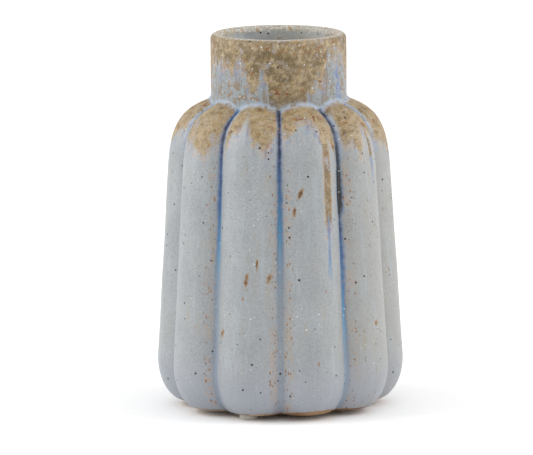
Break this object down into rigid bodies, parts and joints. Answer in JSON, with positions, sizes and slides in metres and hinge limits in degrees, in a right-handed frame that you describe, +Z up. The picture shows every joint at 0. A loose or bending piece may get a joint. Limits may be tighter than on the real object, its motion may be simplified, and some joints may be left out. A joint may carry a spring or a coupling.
{
  "type": "bud vase",
  "caption": "Bud vase with a lobed slip-cast stoneware body, a short straight neck with a rounded lip, a reactive glaze outside, a liner glaze inside, and stick-on pads under its foot.",
  "frame": {"origin": "on the table under the vase's axis, at the underside of the pads", "axes": "+Z up along the vase's axis; -Y is the front, with a groove in the middle of it; crests of lobes at +X and -X"},
  "size_m": [0.1052, 0.1016, 0.16],
  "materials": {
    "stoneware": "bare fired stoneware, matt, with iron specks",
    "reactive_glaze": "satin grey-blue reactive glaze that breaks to brown at the lip and shoulder and pools cobalt in the grooves",
    "liner_glaze": "satin grey-blue liner glaze, brown in patches",
    "pad": "clear soft polyurethane",
    "adhesive": "clear acrylic adhesive film"
  },
  "bodies": {
    "root": {"stoneware_body": "stoneware", "outer_glaze": "reactive_glaze", "liner_glaze": "liner_glaze", "foot_pad_1": "pad", "foot_pad_2": "pad", "foot_pad_3": "pad", "pad_adhesive_1": "adhesive", "pad_adhesive_2": "adhesive", "pad_adhesive_3": "adhesive"}
  },
  "joints": []
}
